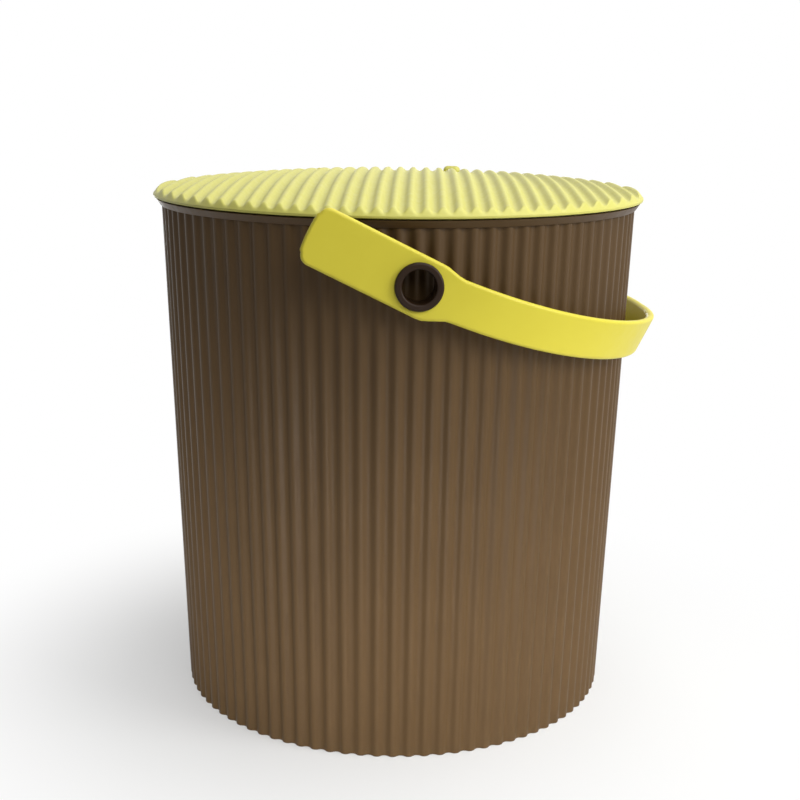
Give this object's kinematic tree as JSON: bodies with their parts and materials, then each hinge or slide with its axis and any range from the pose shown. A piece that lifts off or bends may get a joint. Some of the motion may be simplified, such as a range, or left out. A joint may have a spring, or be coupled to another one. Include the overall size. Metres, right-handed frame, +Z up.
{
  "type": "lidded bucket",
  "caption": "Round tapered tub with an upright fluted wall, a crowned ribbed lid that drops in, and a flat strap handle that swings on flanged eyelets.",
  "frame": {"origin": "centre of the tub's foot, on the surface that it stands on", "axes": "+Z up along the tub's axis, +Y along the handle's pivots, +X towards the hanging loop"},
  "size_m": [0.3239, 0.3352, 0.3426],
  "materials": {
    "tub_plastic": "satin moulded polypropylene, warm brown",
    "ring_plastic": "satin moulded polypropylene, dark brown",
    "handle_plastic": "satin moulded polypropylene, mustard yellow",
    "lid_plastic": "satin moulded polypropylene, pale yellow"
  },
  "bodies": {
    "tub_body": {"tub": "tub_plastic", "pivot_ring_front": "ring_plastic", "pivot_ring_rear": "ring_plastic"},
    "handle_body": {"handle": "handle_plastic"},
    "lid_body": {"lid": "lid_plastic"}
  },
  "joints": [
    {"name": "handle_swing", "type": "hinge", "parent": "tub_body", "child": "handle_body", "pos_m": [0, 0, 0.2916], "axis": [0, -1, 0], "range_deg": [0, 215]},
    {"name": "lid_lift", "type": "slide", "parent": "tub_body", "child": "lid_body", "axis": [0, 0, 1], "range_m": [0, 0.1]}
  ]
}
